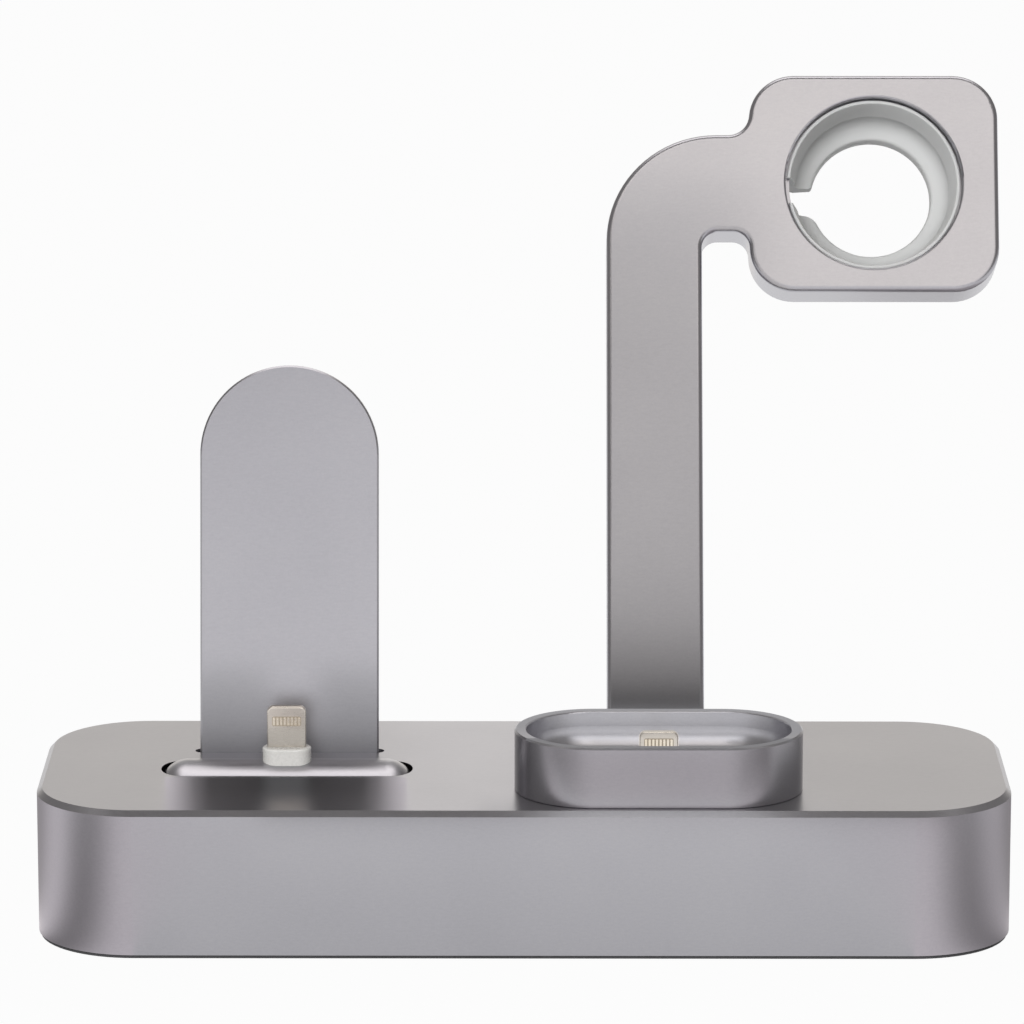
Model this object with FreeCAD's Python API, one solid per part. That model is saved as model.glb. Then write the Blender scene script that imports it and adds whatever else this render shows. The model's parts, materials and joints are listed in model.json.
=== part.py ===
import FreeCAD
import Part
import math
import os

# Phone and watch charging stand, in millimetres.
# +X to the right, +Y to the back, +Z up; the origin is the middle of the footprint on the table.

# Base housing, bottom cover and rubber pad
base_length = 166.0
base_depth = 61.2
base_height = 25.7
base_corner = 17.1
base_chamfer = 0.92
side_wall = 3.0
top_wall = 4.0
rim_wall = 1.4
pad_thickness = 0.6
pad_inset = 0.35
cover_thickness = 2.0
cover_gap = 0.15
post_radius = 3.25
post_inset = 10.6

# Places of the two docks on the base
phone_inset = 42.2
rocker_from_front = 28.0
backrest_from_rocker = 10.6
cup_inset = 60.1
cup_from_front = 2.1
arm_from_cup = 10.5

# Phone backrest, a folded plate with a foot under the top wall
backrest_width = 31.0
backrest_reach = 67.3
backrest_lean = 11.0
backrest_thickness = 2.5
backrest_chamfer = 0.3
backrest_bend = 1.0
backrest_foot = 9.0
backrest_screw_spread = 18.0
backrest_slot_gap = 0.1

# Phone rocker, a turned bar in a round pocket
slot_depth = 10.0
rocker_crown = 1.5
rocker_gap = 0.2
rocker_length = 44.0
rocker_end_round = 5.0
rocker_end_gap = 0.9
rocker_flat = 3.0
pin_radius = 1.0
pin_grip = 6.0
pin_gap = 0.03
bearing_play = 0.3
bearing_thickness = 5.0
bearing_depth = 15.0
bearing_drop = 4.0
bearing_screw_spread = 9.6

# Charging plugs, the same in the rocker and in the cup
tab_width = 6.7
tab_thickness = 1.5
tab_length = 7.2
tab_corner = 1.1
tab_edge = 0.3
boot_width = 8.4
boot_depth = 5.0
boot_edge = 0.4
boot_proud = 3.95
boot_gap = 0.05
flange_width = 11.4
flange_depth = 7.4
flange_thickness = 1.5
flange_corner = 0.8
contact_count = 8
contact_pitch = 0.62
contact_width = 0.38
contact_height = 1.4
contact_thickness = 0.04
contact_from_tip = 1.9
clamp_length = 25.0
clamp_depth = 9.6
clamp_thickness = 3.2
clamp_screw_spread = 17.6
clamp_corner = 2.0
clamp_gap = 0.1

# Earbud case cup
cup_length = 49.0
cup_depth = 27.0
cup_height = 10.45
cup_wall = 2.0
cup_floor = 2.8
cup_cove = 5.0
cup_rim_chamfer = 0.3
cup_lip_round = 0.3
cup_foot_chamfer = 0.12
cup_screw_from_clamp = 1.25

# Watch arm, one plate with its head
arm_width = 16.9
arm_thickness = 9.0
arm_lean = 24.0
arm_edge = 0.95
arm_back_chamfer = 0.4
arm_bend = 19.5
arm_tenon = 12.0
neck_height = 17.7
neck_fillet = 3.8
arch_fillet = 2.9
head_offset = 39.0
head_rise = 102.1
head_width = 44.2
head_height = 39.5
head_corner = 8.0
tenon_gap = 0.05
socket_wall = 4.0
socket_floor = 3.0
arm_screw_spread = 9.0
groove_width = 3.6
groove_depth = 3.0
groove_foot = 5.0

# Watch puck insert in the head's bore
seat_radius = 13.95
rim_radius = 15.45
rim_gap = 0.2
rim_depth = 1.3
rim_slope = 0.7
ledge_depth = 2.5
sleeve_wall = 0.95
sleeve_gap = 0.05
bore_edge = 0.4
lip_radius = 10.7
lip_front = 11.8
lip_back = 14.6
lip_cove = 3.0
insert_slit = 5.2
slit_drop = 0.8
insert_edge = 0.35
slit_flare = 0.9

# Charging board, power inlet and leads
board_length = 24.0
board_depth = 18.0
board_thickness = 1.6
board_corner = 1.0
board_level = 8.0
board_gap = 0.4
board_from_socket = 1.5
board_hole_inset = 2.5
board_post_radius = 2.6
inlet_width = 9.0
inlet_height = 3.2
inlet_depth = 7.4
inlet_skin = 0.3
inlet_recess = 0.6
inlet_gap = 0.2
inlet_tongue = 0.7
inlet_tongue_inset = 2.5
chip_size = 6.0
chip_height = 1.0
chip_from_front = 6.0
header_width = 6.0
header_depth = 6.0
header_height = 3.2
header_spread = 8.0
header_overhang = 1.0
lead_radius = 1.1
lead_level = 6.2
lead_gap = 0.5
lead_bend_share = 0.45

# Screws: shank radius, head radius and head height
screw_gap = 0.05
socket_share = 0.6
thread_depth = 3.0
small_screw = (1.0, 1.9, 1.3)
cover_screw = (1.25, 2.4, 1.3)
cup_screw = (1.5, 2.75, 1.6)
arm_screw = (2.0, 3.5, 3.0)
cover_thread = 8.0
cup_thread = 2.0
clamp_thread = 4.5
board_thread = 5.0
arm_thread = 8.0

# How far a cut runs past the faces that it opens
over = 1.0
# Points closer than this are one point
touching = 1e-4

# Places and levels worked out from the sizes above
ceiling = base_height - top_wall
cover_bottom = pad_thickness
cover_top = cover_bottom + cover_thickness
phone_x = -base_length / 2 + phone_inset
cup_x = base_length / 2 - cup_inset
front_y = -base_depth / 2
back_y = base_depth / 2
rocker_y = front_y + rocker_from_front
backrest_y = rocker_y + backrest_from_rocker
cup_y = front_y + cup_from_front + cup_depth / 2
arm_y = cup_y + cup_depth / 2 + arm_from_cup

slot_half = slot_depth / 2
crown_in_pocket = rocker_crown + rocker_gap
axis_depth = (slot_half ** 2 - crown_in_pocket ** 2) / (2 * crown_in_pocket)
axis_z = base_height - axis_depth
rocker_radius = axis_depth + rocker_crown
rocker_seat = axis_z - rocker_flat

head_x = cup_x + head_offset
sleeve_radius = seat_radius + sleeve_wall
bore_radius = sleeve_radius + sleeve_gap
counterbore_radius = rim_radius + rim_gap

board_x = cup_x + arm_width / 2 + socket_wall + board_from_socket + board_length / 2
board_back = back_y - side_wall - board_gap
board_front = board_back - board_depth
board_y = (board_front + board_back) / 2
board_top = board_level + board_thickness
header_front = board_front - header_overhang
cup_screw_spread = clamp_length + 2 * (cup_screw_from_clamp + cup_screw[1])

cover_posts = [
    (side_x * (base_length / 2 - post_inset), side_y * (base_depth / 2 - post_inset))
    for side_x in (-1, 1) for side_y in (-1, 1)
]
cover_posts += [((phone_x + cup_x) / 2, side_y * (base_depth / 2 - post_inset)) for side_y in (-1, 1)]


def vec(x, y, z):
    return FreeCAD.Vector(x, y, z)


def polar(centre_x, centre_z, radius, degrees, y=0.0):
    angle = math.radians(degrees)
    return vec(centre_x + radius * math.cos(angle), y, centre_z + radius * math.sin(angle))


def arc(centre_x, centre_z, radius, start, end):
    # three points of an arc in a plane facing Y
    return [polar(centre_x, centre_z, radius, a) for a in (start, (start + end) / 2, end)]


def face_of(stretches):
    # a closed face from single points and three-point arcs, joined in order by straight lines
    edges = []
    last = stretches[-1][-1]
    for stretch in stretches:
        if stretch[0].distanceToPoint(last) > touching:
            edges.append(Part.makeLine(last, stretch[0]))
        if len(stretch) == 3:
            edges.append(Part.Arc(*stretch).toShape())
        last = stretch[-1]
    return Part.Face(Part.Wire(edges))


def turned(radius, degrees):
    angle = math.radians(degrees)
    return vec(radius * math.cos(angle), radius * math.sin(angle), 0)


def slab(length, depth, corner, bottom, top, x=0.0, y=0.0):
    # an upright prism whose plan is a rectangle with round corners
    rounds = []
    for index, (side_x, side_y) in enumerate(((1, 1), (-1, 1), (-1, -1), (1, -1))):
        centre = vec(x + side_x * (length / 2 - corner), y + side_y * (depth / 2 - corner), bottom)
        rounds.append([centre + turned(corner, 90 * index + step) for step in (0, 45, 90)])
    return face_of(rounds).extrude(vec(0, 0, top - bottom))


def stadium(length, depth, bottom, top, x=0.0, y=0.0):
    return slab(length, depth, depth / 2, bottom, top, x, y)


def upright(radius, bottom, top, x, y):
    return Part.makeCylinder(radius, top - bottom, vec(x, y, bottom))


def box(low, high):
    return Part.makeBox(high[0] - low[0], high[1] - low[1], high[2] - low[2], vec(*low))


def edges_where(shape, test):
    # edges whose ends and middle all pass the test
    chosen = []
    for edge in shape.Edges:
        points = [vertex.Point for vertex in edge.Vertexes]
        points.append(edge.valueAt((edge.FirstParameter + edge.LastParameter) / 2))
        if all(test(point) for point in points):
            chosen.append(edge)
    return chosen


def at_height(shape, z):
    return edges_where(shape, lambda point: abs(point.z - z) < touching)


def at_depth(shape, y):
    return edges_where(shape, lambda point: abs(point.y - y) < touching)


def leaning(shape, degrees, y):
    # tilt a shape back about the line where its front face leaves the base
    moved = shape.copy()
    turn = FreeCAD.Rotation(vec(1, 0, 0), -degrees)
    moved.Placement = FreeCAD.Placement(vec(0, y, base_height), turn)
    return moved


def socket_screw(sizes, shank, x, y, seat):
    # a screw that points up, with its head below the seat
    radius, head_radius, head_height = sizes
    head = upright(head_radius, seat - head_height, seat, x, y)
    body = head.fuse(upright(radius, seat - head_height / 2, seat + shank, x, y))
    middle = vec(x, y, seat - head_height)
    flats = [middle + turned(socket_share * head_radius, 60 * step) for step in range(7)]
    socket = Part.Face(Part.makePolygon(flats)).extrude(vec(0, 0, head_height / 2))
    return body.cut(socket).removeSplitter()


def screw_hole(sizes, bottom, top, x, y):
    return upright(sizes[0] + screw_gap, bottom, top, x, y)


def pair(spread, centre):
    return (centre - spread / 2, centre + spread / 2)


def rocker_bar(half_length, radius):
    # a bar turned about X with its ends rounded over
    round_r = rocker_end_round
    inner = half_length - round_r
    low = radius - round_r
    profile = face_of([
        [vec(-half_length, 0, 0)],
        arc(-inner, low, round_r, 180, 90),
        arc(inner, low, round_r, 90, 0),
        [vec(half_length, 0, 0)],
    ])
    bar = profile.revolve(vec(0, 0, 0), vec(1, 0, 0), 360)
    bar.translate(vec(phone_x, rocker_y, axis_z))
    return bar


def backrest_slot():
    depth = backrest_thickness + 2 * backrest_slot_gap
    half_plate = backrest_thickness / 2
    corner_room = math.sqrt((depth / 2) ** 2 - half_plate ** 2)
    length = backrest_width + depth - 2 * corner_room + 2 * backrest_slot_gap
    slot = stadium(length, depth, -2 * top_wall, top_wall, phone_x, half_plate)
    return leaning(slot, backrest_lean, backrest_y)


def bend_centre():
    # middle of the fold between the backrest plate and its foot, in Y and Z
    lean = math.radians(backrest_lean)
    drop = (backrest_thickness * math.sin(lean) - top_wall) / math.cos(lean)
    corner_y = backrest_y + backrest_thickness * math.cos(lean) + drop * math.sin(lean)
    half_turn = math.radians((90 + backrest_lean) / 2)
    return corner_y + backrest_bend * math.tan(half_turn), ceiling + backrest_bend


def backrest_screw_y():
    return bend_centre()[0] + backrest_foot / 2


def make_phone_backrest():
    lean = math.radians(backrest_lean)
    up = vec(0, math.sin(lean), math.cos(lean))
    back = vec(0, math.cos(lean), -math.sin(lean))
    fold_y, fold_z = bend_centre()
    fold = vec(0, fold_y, fold_z)
    outer_bend = backrest_bend + backrest_thickness
    middle = math.radians(225 - backrest_lean / 2)
    halfway = vec(0, math.cos(middle), math.sin(middle))
    tip = vec(0, backrest_y, base_height) + up * backrest_reach
    foot_end = fold_y + backrest_foot
    profile = face_of([
        [vec(0, foot_end, ceiling)],
        [fold - vec(0, 0, backrest_bend), fold + halfway * backrest_bend, fold - back * backrest_bend],
        [tip + back * backrest_thickness],
        [tip],
        [fold - back * outer_bend, fold + halfway * outer_bend, fold - vec(0, 0, outer_bend)],
        [vec(0, foot_end, ceiling - backrest_thickness)],
    ])
    profile.translate(vec(phone_x - backrest_width / 2, 0, 0))
    plate = profile.extrude(vec(backrest_width, 0, 0))
    half = backrest_width / 2
    crown_z = backrest_reach - half
    corners = box((phone_x - half - over, -over, crown_z),
                  (phone_x + half + over, backrest_thickness + over, backrest_reach + over))
    round_top = Part.makeCylinder(half, backrest_thickness + 2 * over,
                                  vec(phone_x, -over, crown_z), vec(0, 1, 0))
    plate = plate.cut(leaning(corners.cut(round_top), backrest_lean, backrest_y))
    for x in pair(backrest_screw_spread, phone_x):
        hole = screw_hole(small_screw, ceiling - 2 * backrest_thickness, ceiling + over,
                          x, backrest_screw_y())
        plate = plate.cut(hole)
    start = vec(0, backrest_y, base_height)
    front = edges_where(plate, lambda point: abs((point - start).dot(back)) < touching)
    outline = [edge for edge in front if edge.CenterOfMass.z > base_height]
    return plate.makeChamfer(backrest_chamfer, outline)


def make_backrest_screws():
    seat = ceiling - backrest_thickness
    shank = backrest_thickness + thread_depth - screw_gap
    return Part.makeCompound([
        socket_screw(small_screw, shank, x, backrest_screw_y(), seat)
        for x in pair(backrest_screw_spread, phone_x)
    ])


def make_phone_rocker():
    half = rocker_length / 2
    bar = rocker_bar(half, rocker_radius)
    below = box((phone_x - half - over, rocker_y - rocker_radius - over, axis_z - 2 * rocker_radius),
                (phone_x + half + over, rocker_y + rocker_radius + over, rocker_seat))
    boot_hole = stadium(boot_width + 2 * boot_gap, boot_depth + 2 * boot_gap,
                        rocker_seat - over, axis_z + 2 * rocker_radius, phone_x, rocker_y)
    bar = bar.cut([below, boot_hole])
    for side in (-1, 1):
        start = vec(phone_x + side * (half + over), rocker_y, axis_z)
        bar = bar.cut(Part.makeCylinder(pin_radius, pin_grip + over, start, vec(-side, 0, 0)))
    for x in pair(clamp_screw_spread, phone_x):
        bar = bar.cut(screw_hole(small_screw, rocker_seat - over, rocker_seat + clamp_thread, x, rocker_y))
    return bar


def make_rocker_pin(side):
    start = vec(phone_x + side * (rocker_length / 2 - pin_grip), rocker_y, axis_z)
    length = pin_grip + bearing_play + bearing_thickness
    return Part.makeCylinder(pin_radius, length, start, vec(side, 0, 0))


def bearing_middle(side):
    return phone_x + side * (rocker_length / 2 + bearing_play + bearing_thickness / 2)


def make_rocker_bearing(side):
    x = bearing_middle(side)
    low = (x - bearing_thickness / 2, rocker_y - bearing_depth / 2, axis_z - bearing_drop)
    high = (x + bearing_thickness / 2, rocker_y + bearing_depth / 2, ceiling)
    block = box(low, high)
    block = block.cut(Part.makeCylinder(pin_radius + pin_gap, bearing_thickness + 2 * over,
                                        vec(low[0] - over, rocker_y, axis_z), vec(1, 0, 0)))
    for y in pair(bearing_screw_spread, rocker_y):
        block = block.cut(screw_hole(small_screw, low[2] - over, high[2] + over, x, y))
    return block


def make_bearing_screws():
    seat = axis_z - bearing_drop
    shank = ceiling - seat + thread_depth - screw_gap
    return Part.makeCompound([
        socket_screw(small_screw, shank, bearing_middle(side), y, seat)
        for side in (-1, 1) for y in pair(bearing_screw_spread, rocker_y)
    ])


def make_plug_boot(x, y, seat, top):
    # a moulded boot that ends in a flange under its seat
    boot = stadium(boot_width, boot_depth, seat - flange_thickness / 2, top, x, y)
    boot = boot.makeFillet(boot_edge, at_height(boot, top))
    flange = slab(flange_width, flange_depth, flange_corner, seat - flange_thickness, seat, x, y)
    return boot.fuse(flange).removeSplitter()


def make_plug_tab(x, y, bottom):
    half = tab_width / 2
    tip = bottom + tab_length
    front = face_of([
        [vec(x - half, 0, bottom)],
        arc(x - half + tab_corner, tip - tab_corner, tab_corner, 180, 90),
        arc(x + half - tab_corner, tip - tab_corner, tab_corner, 90, 0),
        [vec(x + half, 0, bottom)],
    ])
    face_y = y - tab_thickness / 2
    front.translate(vec(0, face_y, 0))
    tab = front.extrude(vec(0, tab_thickness, 0))
    rims = at_depth(tab, face_y) + at_depth(tab, face_y + tab_thickness)
    return tab.makeFillet(tab_edge, [edge for edge in rims if edge.CenterOfMass.z > bottom + touching])


def make_plug_contacts(x, y, bottom):
    # rows of pads on both faces of the tab
    top = bottom + tab_length - contact_from_tip
    pads = []
    for index in range(contact_count):
        middle = x + (index - (contact_count - 1) / 2) * contact_pitch
        for face_y in (y - tab_thickness / 2 - contact_thickness, y + tab_thickness / 2):
            low = (middle - contact_width / 2, face_y, top - contact_height)
            high = (middle + contact_width / 2, face_y + contact_thickness, top)
            pads.append(box(low, high))
    return Part.makeCompound(pads)


def make_plug_clamp(x, y, seat):
    clamp = slab(clamp_length, clamp_depth, clamp_corner, seat - clamp_thickness, seat, x, y)
    pocket = slab(flange_width + 2 * clamp_gap, flange_depth + 2 * clamp_gap, flange_corner,
                  seat - flange_thickness, seat + over, x, y)
    clamp = clamp.cut([pocket, upright(lead_radius + lead_gap, seat - 2 * clamp_thickness, seat, x, y)])
    for screw_x in pair(clamp_screw_spread, x):
        clamp = clamp.cut(screw_hole(small_screw, seat - 2 * clamp_thickness, seat + over, screw_x, y))
    return clamp


def make_clamp_screws(x, y, seat, thread):
    shank = clamp_thickness + thread - screw_gap
    return Part.makeCompound([
        socket_screw(small_screw, shank, screw_x, y, seat - clamp_thickness)
        for screw_x in pair(clamp_screw_spread, x)
    ])


def make_earbud_cup():
    top = base_height + cup_height
    floor = base_height + cup_floor
    cup = stadium(cup_length, cup_depth, base_height, top, cup_x, cup_y)
    cup = cup.makeChamfer(cup_rim_chamfer, at_height(cup, top))
    cup = cup.makeChamfer(cup_foot_chamfer, at_height(cup, base_height))
    hollow = stadium(cup_length - 2 * cup_wall, cup_depth - 2 * cup_wall, floor, top + over, cup_x, cup_y)
    cup = cup.cut(hollow.makeFillet(cup_cove, at_height(hollow, floor)))
    inner_half = cup_depth / 2 - cup_wall / 2 - cup_rim_chamfer / 2
    lip = edges_where(cup, lambda p: abs(p.z - top) < touching and inside_cup_rim(p, inner_half))
    cup = cup.makeFillet(cup_lip_round, lip)
    cup = cup.cut(cup_boot_hole(base_height - over, floor + over))
    for x in pair(cup_screw_spread, cup_x):
        cup = cup.cut(screw_hole(cup_screw, base_height - over, base_height + cup_thread, x, cup_y))
    return cup


def inside_cup_rim(point, half):
    # true within the given distance of the cup's long middle line
    straight = (cup_length - cup_depth) / 2
    past_end = max(abs(point.x - cup_x) - straight, 0)
    return math.hypot(past_end, point.y - cup_y) < half


def cup_boot_hole(bottom, top):
    return stadium(boot_width + 2 * boot_gap, boot_depth + 2 * boot_gap, bottom, top, cup_x, cup_y)


def make_cup_screws():
    shank = top_wall + cup_thread - screw_gap
    return Part.makeCompound([
        socket_screw(cup_screw, shank, x, cup_y, ceiling) for x in pair(cup_screw_spread, cup_x)
    ])


def blend_into_head(radius, blend_z, corner_x, corner_z):
    # where a blend off the neck meets the head's round corner: its middle in X and the angle of the meeting
    rise = corner_z - blend_z
    across = math.sqrt((radius + head_corner) ** 2 - rise ** 2)
    return corner_x - across, math.degrees(math.atan2(rise, across))


def arm_outline():
    # front view of the arm and head, with Z measured up along the slope from the base's top
    left = cup_x - arm_width / 2
    right = cup_x + arm_width / 2
    neck_top = head_rise + neck_height / 2
    neck_bottom = head_rise - neck_height / 2
    head_left = head_x - head_width / 2
    head_right = head_x + head_width / 2
    head_top = head_rise + head_height / 2
    head_bottom = head_rise - head_height / 2
    corner_x = head_left + head_corner
    high_z = head_top - head_corner
    low_z = head_bottom + head_corner
    over_z = neck_top + neck_fillet
    under_z = neck_bottom - arch_fillet
    over_x, over_meet = blend_into_head(neck_fillet, over_z, corner_x, high_z)
    under_x, under_meet = blend_into_head(arch_fillet, under_z, corner_x, low_z)
    return face_of([
        [vec(left, 0, -arm_tenon)],
        arc(left + arm_bend, neck_top - arm_bend, arm_bend, 180, 90),
        arc(over_x, over_z, neck_fillet, -90, over_meet),
        arc(corner_x, high_z, head_corner, 180 + over_meet, 90),
        arc(head_right - head_corner, high_z, head_corner, 90, 0),
        arc(head_right - head_corner, low_z, head_corner, 0, -90),
        arc(corner_x, low_z, head_corner, -90, under_meet - 180),
        arc(under_x, under_z, arch_fillet, under_meet, 90),
        arc(right + arch_fillet, under_z, arch_fillet, 90, 180),
        [vec(right, 0, -arm_tenon)],
    ])


def across_head(radius, front, back):
    return Part.makeCylinder(radius, back - front, vec(head_x, front, head_rise), vec(0, 1, 0))


def cable_groove():
    # a channel in the arm's back from the bore, along the neck and down to the foot
    half = groove_width / 2
    front = arm_thickness - groove_depth
    back = arm_thickness + over
    turn_radius = arm_bend - arm_width / 2
    turn_x = cup_x + turn_radius
    turn_z = head_rise - turn_radius
    turn = vec(turn_x, front, turn_z)
    ring = Part.makeCylinder(turn_radius + half, back - front, turn, vec(0, 1, 0))
    ring = ring.cut(Part.makeCylinder(turn_radius - half, back - front, turn, vec(0, 1, 0)))
    quarter = ring.common(box((cup_x - half - over, front, turn_z), (turn_x, back, head_rise + half + over)))
    along_neck = box((turn_x, front, head_rise - half), (head_x - seat_radius, back, head_rise + half))
    down_arm = box((cup_x - half, front, groove_foot), (cup_x + half, back, turn_z))
    foot = Part.makeCylinder(half, back - front, vec(cup_x, front, groove_foot), vec(0, 1, 0))
    return quarter.fuse([along_neck, down_arm, foot])


def make_watch_arm():
    arm = arm_outline().extrude(vec(0, arm_thickness, 0))
    not_foot = -arm_tenon + touching
    front = [edge for edge in at_depth(arm, 0) if edge.CenterOfMass.z > not_foot]
    arm = arm.makeFillet(arm_edge, front)
    back = [edge for edge in at_depth(arm, arm_thickness) if edge.CenterOfMass.z > not_foot]
    arm = arm.makeChamfer(arm_back_chamfer, back)
    arm = arm.cut(across_head(counterbore_radius, -over, ledge_depth))
    arm = arm.cut(across_head(bore_radius, 0, arm_thickness + over))
    head_middle = vec(head_x, 0, head_rise)
    mouth_reach = counterbore_radius + rim_gap
    mouth = edges_where(arm, lambda p: p.distanceToPoint(head_middle) < mouth_reach and abs(p.y) < touching)
    arm = arm.makeFillet(bore_edge, mouth)
    arm = arm.cut(cable_groove())
    for x in pair(arm_screw_spread, cup_x):
        hole = screw_hole(arm_screw, -arm_tenon - over, arm_thread - arm_tenon, x, arm_thickness / 2)
        arm = arm.cut(hole)
    return leaning(arm, arm_lean, arm_y)


def make_arm_screws():
    seat = -arm_tenon - socket_floor
    shank = socket_floor + arm_thread - screw_gap
    screws = [
        socket_screw(arm_screw, shank, x, arm_thickness / 2, seat)
        for x in pair(arm_screw_spread, cup_x)
    ]
    return leaning(Part.makeCompound(screws), arm_lean, arm_y)


def make_watch_ring_insert():
    inner = seat_radius - lip_cove
    cove_z = lip_front - lip_cove
    slant = lip_cove * math.sqrt(0.5)

    def at(radius, depth):
        return vec(head_x + radius, depth, head_rise)

    profile = face_of([
        [at(seat_radius, rim_depth + rim_slope)],
        [at(rim_radius - insert_edge, rim_depth)],
        [at(rim_radius, rim_depth + insert_edge)],
        [at(rim_radius, ledge_depth)],
        [at(sleeve_radius, ledge_depth)],
        [at(sleeve_radius, lip_back - sleeve_wall)],
        [at(sleeve_radius - sleeve_wall, lip_back)],
        [at(lip_radius, lip_back)],
        [at(lip_radius, lip_front)],
        [at(inner, lip_front), at(inner + slant, cove_z + slant), at(seat_radius, cove_z)],
    ])
    ring = profile.revolve(vec(head_x, 0, head_rise), vec(0, 1, 0), 360)
    slit_top = head_rise + insert_slit / 2 - slit_drop
    slit_bottom = slit_top - insert_slit
    slit = box((head_x - rim_radius - over, 0, slit_bottom), (head_x, lip_back + over, slit_top))
    outer = head_x - lip_radius - slit_flare
    flare = face_of([
        [vec(outer, 0, slit_bottom)],
        [vec(head_x, 0, slit_bottom - lip_radius)],
        [vec(head_x, 0, slit_top + lip_radius)],
        [vec(outer, 0, slit_top)],
    ])
    mouth = across_head(lip_radius + slit_flare, cove_z, lip_back + over).common(
        flare.extrude(vec(0, lip_back + over, 0)))
    mouth = mouth.common(box((outer - over, 0, slit_bottom - slit_flare),
                             (head_x, lip_back + over, slit_top + slit_flare)))
    return leaning(ring.cut([slit, mouth]), arm_lean, arm_y)


def arm_socket_block():
    half = arm_width / 2 + socket_wall
    block = box((cup_x - half, -socket_wall, -arm_tenon - socket_floor),
                (cup_x + half, arm_thickness + socket_wall, 2 * top_wall))
    below_top = box((cup_x - half, front_y, cover_top), (cup_x + half, back_y - side_wall, ceiling + over))
    return leaning(block, arm_lean, arm_y).common(below_top)


def arm_socket_hole():
    half = arm_width / 2 + tenon_gap
    hole = box((cup_x - half, -tenon_gap, -arm_tenon),
               (cup_x + half, arm_thickness + tenon_gap, 3 * top_wall))
    for x in pair(arm_screw_spread, cup_x):
        clear = screw_hole(arm_screw, -arm_tenon - 2 * socket_floor, -arm_tenon + over, x, arm_thickness / 2)
        hole = hole.fuse(clear)
    return leaning(hole, arm_lean, arm_y)


def board_screw_places():
    half_x = board_length / 2 - board_hole_inset
    half_y = board_depth / 2 - board_hole_inset
    return [(board_x + side_x * half_x, board_y + side_y * half_y)
            for side_x in (-1, 1) for side_y in (-1, 1)]


def make_base_housing():
    body = slab(base_length, base_depth, base_corner, pad_thickness, base_height)
    body = body.makeChamfer(base_chamfer, at_height(body, base_height))
    cavity = slab(base_length - 2 * side_wall, base_depth - 2 * side_wall, base_corner - side_wall,
                  cover_top - over, ceiling)
    recess = slab(base_length - 2 * rim_wall, base_depth - 2 * rim_wall, base_corner - rim_wall,
                  cover_bottom - over, cover_top)
    body = body.cut([cavity, recess])
    posts = [upright(post_radius, cover_top, ceiling + over, x, y) for x, y in cover_posts]
    posts += [upright(board_post_radius, board_top, ceiling + over, x, y) for x, y in board_screw_places()]
    body = body.fuse(posts + [arm_socket_block()])
    fold_y, fold_z = bend_centre()
    relief_half = backrest_width / 2 + backrest_slot_gap
    fold_relief = box((phone_x - relief_half, backrest_y, ceiling - over),
                      (phone_x + relief_half, fold_y + backrest_slot_gap, fold_z + backrest_slot_gap))
    pocket = rocker_bar(rocker_length / 2 + rocker_end_gap, rocker_radius + rocker_gap)
    inlet = slab(inlet_width + 2 * inlet_gap, inlet_height + 2 * inlet_gap, inlet_height / 2 + inlet_gap,
                 -side_wall - over, side_wall)
    inlet.rotate(vec(0, 0, 0), vec(1, 0, 0), 90)
    inlet.translate(vec(board_x, back_y - side_wall / 2, board_top + inlet_height / 2))
    body = body.cut([pocket, backrest_slot(), fold_relief, arm_socket_hole(), inlet])
    holes = [cup_boot_hole(ceiling - over, base_height + over)]
    holes += [screw_hole(cup_screw, ceiling - over, base_height + over, x, cup_y)
              for x in pair(cup_screw_spread, cup_x)]
    tapped = [(x, backrest_screw_y()) for x in pair(backrest_screw_spread, phone_x)]
    tapped += [(bearing_middle(side), y) for side in (-1, 1) for y in pair(bearing_screw_spread, rocker_y)]
    tapped += [(x, cup_y) for x in pair(clamp_screw_spread, cup_x)]
    holes += [screw_hole(small_screw, ceiling - over, ceiling + thread_depth, x, y) for x, y in tapped]
    holes += [screw_hole(cover_screw, cover_top - over, cover_top + cover_thread, x, y)
              for x, y in cover_posts]
    holes += [screw_hole(small_screw, board_top - over, board_top + board_thread, x, y)
              for x, y in board_screw_places()]
    return body.cut(holes)


def make_bottom_cover():
    inset = 2 * (rim_wall + cover_gap)
    cover = slab(base_length - inset, base_depth - inset, base_corner - inset / 2, cover_bottom, cover_top)
    radius, head_radius, head_height = cover_screw
    sinks = []
    for x, y in cover_posts:
        sinks.append(screw_hole(cover_screw, cover_bottom - over, cover_top + over, x, y))
        sinks.append(Part.makeCone(head_radius + screw_gap, radius + screw_gap, head_height,
                                   vec(x, y, cover_bottom)))
    return cover.cut(sinks)


def make_bottom_cover_screws():
    radius, head_radius, head_height = cover_screw
    screws = []
    for x, y in cover_posts:
        head = Part.makeCone(head_radius, radius, head_height, vec(x, y, cover_bottom))
        shank = upright(radius, cover_bottom + head_height, cover_top + cover_thread - screw_gap, x, y)
        screws.append(head.fuse(shank).removeSplitter())
    return Part.makeCompound(screws)


def make_base_pad():
    return slab(base_length - 2 * pad_inset, base_depth - 2 * pad_inset, base_corner - pad_inset,
                0, pad_thickness)


def make_charge_board():
    board = slab(board_length, board_depth, board_corner, board_level, board_top, board_x, board_y)
    return board.cut([screw_hole(small_screw, board_level - over, board_top + over, x, y)
                      for x, y in board_screw_places()])


def make_board_screws():
    shank = board_thickness + board_thread - screw_gap
    return Part.makeCompound([
        socket_screw(small_screw, shank, x, y, board_level) for x, y in board_screw_places()
    ])


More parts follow.
